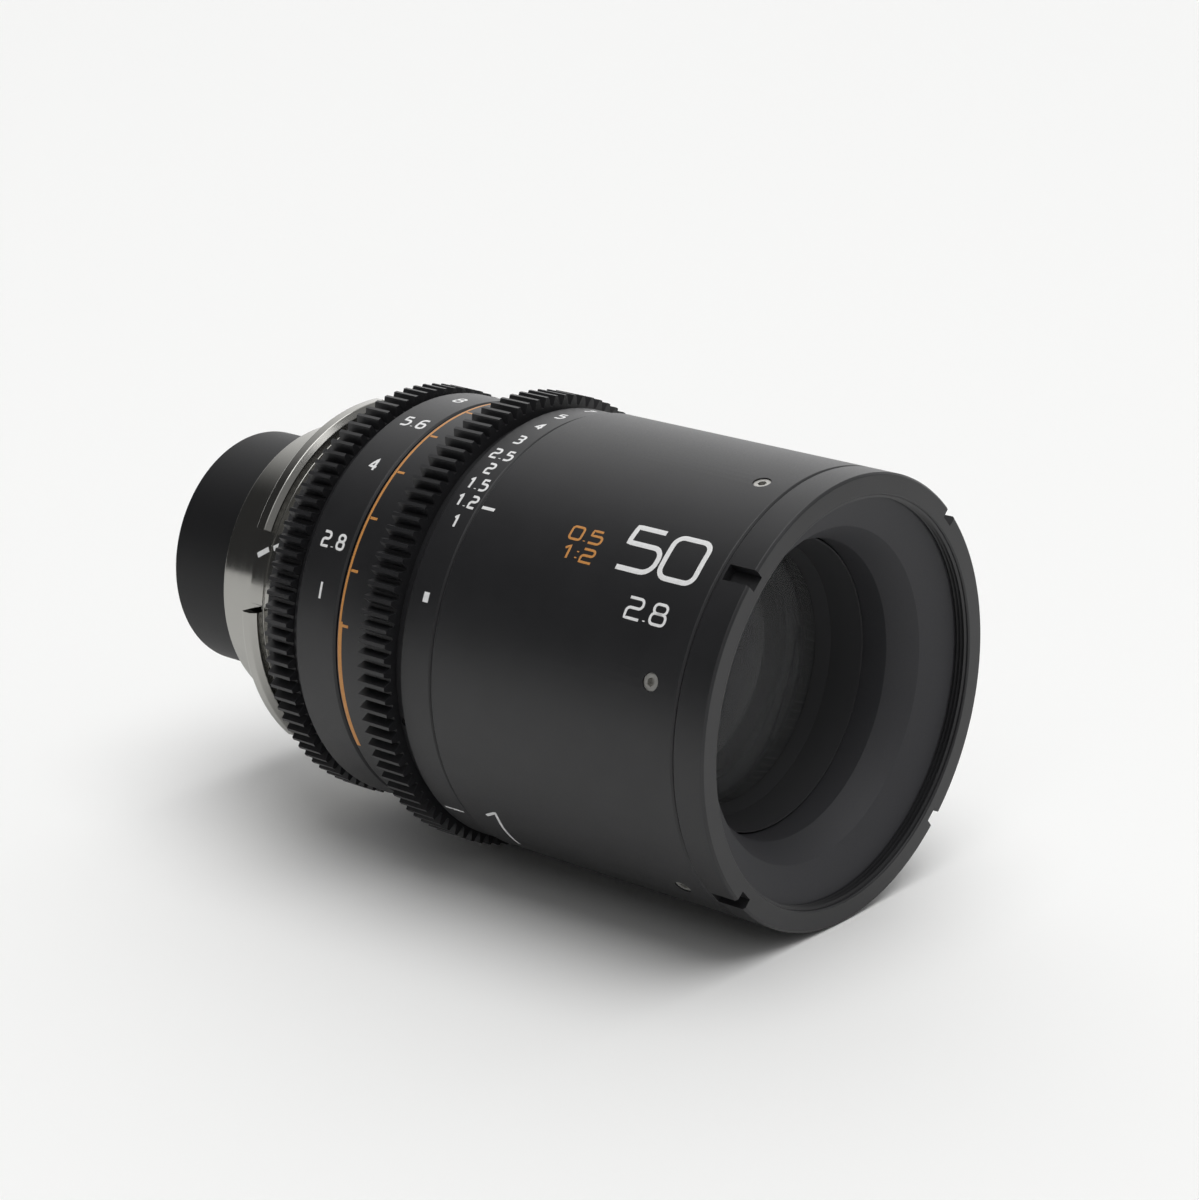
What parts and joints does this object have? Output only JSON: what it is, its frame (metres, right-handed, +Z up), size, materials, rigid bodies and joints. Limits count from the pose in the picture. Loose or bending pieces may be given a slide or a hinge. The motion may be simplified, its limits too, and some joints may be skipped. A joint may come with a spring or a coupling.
{
  "type": "cinema prime lens",
  "caption": "Cinema prime lens with geared focus and iris rings, a recessed front glass, a bladed iris and a stainless positive-lock camera mount.",
  "frame": {"origin": "centre of the camera mount's flange face, on the optical axis", "axes": "-Y along the optical axis towards the front glass, +Z up, as the lens lies in the picture"},
  "size_m": [0.0832, 0.141, 0.0832],
  "materials": {
    "black": "satin",
    "matte": "matte",
    "screws": "satin",
    "stainless": "polished",
    "pins": "satin",
    "brass": "satin",
    "blades": "satin",
    "glass": "polished"
  },
  "bodies": {
    "lens_body": {"front_ring": "black", "front_barrel": "black", "index_band": "black", "rear_barrel": "black", "front_bezel": "matte", "mid_cell": "matte", "mid_spacer": "matte", "mid_retainer": "matte", "iris_base": "matte", "rear_spacers": "matte", "rear_retainer": "matte", "guide_tube": "matte", "barrel_screws": "screws", "index_screws": "screws", "camera_mount": "stainless", "mount_screws": "stainless", "focus_stop_pin": "pins", "iris_stop_pin": "pins", "mount_shim": "brass", "mid_front_glass": "glass", "mid_rear_glass": "glass", "rear_first_glass": "glass", "rear_second_glass": "glass", "rear_last_glass": "glass"},
    "focus": {"focus_ring": "black", "cam_sleeve": "brass", "focus_screws": "screws"},
    "focus_group": {"focus_cell": "matte", "cam_followers": "pins", "front_glass": "glass", "front_retainer": "matte", "second_glass": "glass", "third_glass": "glass", "cell_spacer": "matte", "cell_retainer": "matte"},
    "iris": {"iris_ring": "black", "iris_drive_screw": "screws", "iris_rotor": "brass"},
    "blade_1": {"iris_blade_1": "blades"},
    "blade_2": {"iris_blade_2": "blades"},
    "blade_3": {"iris_blade_3": "blades"},
    "blade_4": {"iris_blade_4": "blades"},
    "blade_5": {"iris_blade_5": "blades"},
    "blade_6": {"iris_blade_6": "blades"},
    "blade_7": {"iris_blade_7": "blades"},
    "blade_8": {"iris_blade_8": "blades"},
    "blade_9": {"iris_blade_9": "blades"}
  },
  "joints": [
    {"name": "focus_turn", "type": "hinge", "parent": "lens_body", "child": "focus", "pos_m": [0, -0.0435, 0], "axis": [0, -1, 0], "range_deg": [0, 270]},
    {"name": "focus_slide", "type": "slide", "parent": "lens_body", "child": "focus_group", "axis": [0, -1, 0], "range_m": [0, 0.012]},
    {"name": "iris_turn", "type": "hinge", "parent": "lens_body", "child": "iris", "pos_m": [0, -0.0184, 0], "axis": [0, -1, 0], "range_deg": [0, 90]},
    {"name": "blade_1_turn", "type": "hinge", "parent": "lens_body", "child": "blade_1", "pos_m": [0.023, -0.01425, 0], "axis": [0, -1, 0], "range_deg": [0, 30]},
    {"name": "blade_2_turn", "type": "hinge", "parent": "lens_body", "child": "blade_2", "pos_m": [0.01762, -0.01455, 0.01478], "axis": [0, -1, 0], "range_deg": [0, 30]},
    {"name": "blade_3_turn", "type": "hinge", "parent": "lens_body", "child": "blade_3", "pos_m": [0.00399, -0.01485, 0.02265], "axis": [0, -1, 0], "range_deg": [0, 30]},
    {"name": "blade_4_turn", "type": "hinge", "parent": "lens_body", "child": "blade_4", "pos_m": [-0.0115, -0.01515, 0.01992], "axis": [0, -1, 0], "range_deg": [0, 30]},
    {"name": "blade_5_turn", "type": "hinge", "parent": "lens_body", "child": "blade_5", "pos_m": [-0.02161, -0.01545, 0.00787], "axis": [0, -1, 0], "range_deg": [0, 30]},
    {"name": "blade_6_turn", "type": "hinge", "parent": "lens_body", "child": "blade_6", "pos_m": [-0.02161, -0.01575, -0.00787], "axis": [0, -1, 0], "range_deg": [0, 30]},
    {"name": "blade_7_turn", "type": "hinge", "parent": "lens_body", "child": "blade_7", "pos_m": [-0.0115, -0.01605, -0.01992], "axis": [0, -1, 0], "range_deg": [0, 30]},
    {"name": "blade_8_turn", "type": "hinge", "parent": "lens_body", "child": "blade_8", "pos_m": [0.00399, -0.01635, -0.02265], "axis": [0, -1, 0], "range_deg": [0, 30]},
    {"name": "blade_9_turn", "type": "hinge", "parent": "lens_body", "child": "blade_9", "pos_m": [0.01762, -0.01665, -0.01478], "axis": [0, -1, 0], "range_deg": [0, 30]}
  ],
  "couplings": [
    {"joint": "focus_slide", "follows": "focus_turn", "m_per_rad": 0.0025465},
    {"joint": "blade_1_turn", "follows": "iris_turn", "ratio": 0.33333},
    {"joint": "blade_2_turn", "follows": "iris_turn", "ratio": 0.33333},
    {"joint": "blade_3_turn", "follows": "iris_turn", "ratio": 0.33333},
    {"joint": "blade_4_turn", "follows": "iris_turn", "ratio": 0.33333},
    {"joint": "blade_5_turn", "follows": "iris_turn", "ratio": 0.33333},
    {"joint": "blade_6_turn", "follows": "iris_turn", "ratio": 0.33333},
    {"joint": "blade_7_turn", "follows": "iris_turn", "ratio": 0.33333},
    {"joint": "blade_8_turn", "follows": "iris_turn", "ratio": 0.33333},
    {"joint": "blade_9_turn", "follows": "iris_turn", "ratio": 0.33333}
  ]
}
